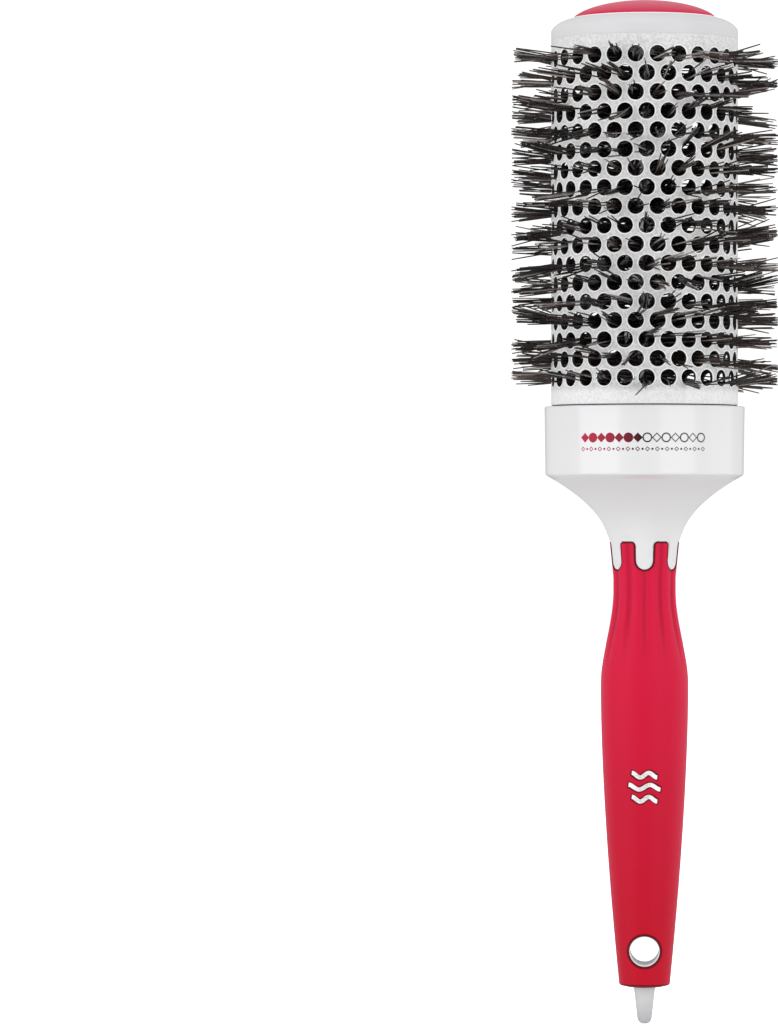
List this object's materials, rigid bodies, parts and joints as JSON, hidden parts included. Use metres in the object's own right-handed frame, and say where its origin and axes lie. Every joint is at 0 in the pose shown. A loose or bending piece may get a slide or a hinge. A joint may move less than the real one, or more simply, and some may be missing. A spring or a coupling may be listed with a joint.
{
  "type": "round barrel brush",
  "caption": "Thermal round hair brush: vented round barrel with nylon filaments, white collar, soft tapered grip and a tail with a hang hole.",
  "frame": {"origin": "centre of the base of the box, at the end of the tail tip; the brush stands on its axis with the barrel up", "axes": "+Z along the brush from the tail tip to the dome; -Y is the front, where the hang hole opens and the mark sits"},
  "size_m": [0.072, 0.072, 0.2737],
  "materials": {
    "white_plastic": "glossy moulded white",
    "ceramic_coating": "satin ceramic coat on aluminium",
    "red_rubber": "soft-touch, matt",
    "red_dome": "soft-touch, satin",
    "nylon": "black nylon filament, slight sheen",
    "steel_wire": "drawn wire"
  },
  "bodies": {
    "root": {"handle_core": "white_plastic", "grip": "red_rubber", "barrel": "ceramic_coating", "end_cap": "white_plastic", "cap_dome": "red_dome", "stem_wire_a": "steel_wire", "stem_wire_b": "steel_wire", "bristle_row_01": "nylon", "bristle_row_02": "nylon", "bristle_row_03": "nylon", "bristle_row_04": "nylon", "bristle_row_05": "nylon", "bristle_row_06": "nylon", "bristle_row_07": "nylon", "bristle_row_08": "nylon", "bristle_row_09": "nylon", "bristle_row_10": "nylon", "bristle_row_11": "nylon", "bristle_row_12": "nylon", "bristle_row_13": "nylon", "bristle_row_14": "nylon", "bristle_row_15": "nylon", "bristle_row_16": "nylon", "bristle_row_17": "nylon", "bristle_row_18": "nylon"}
  },
  "joints": []
}
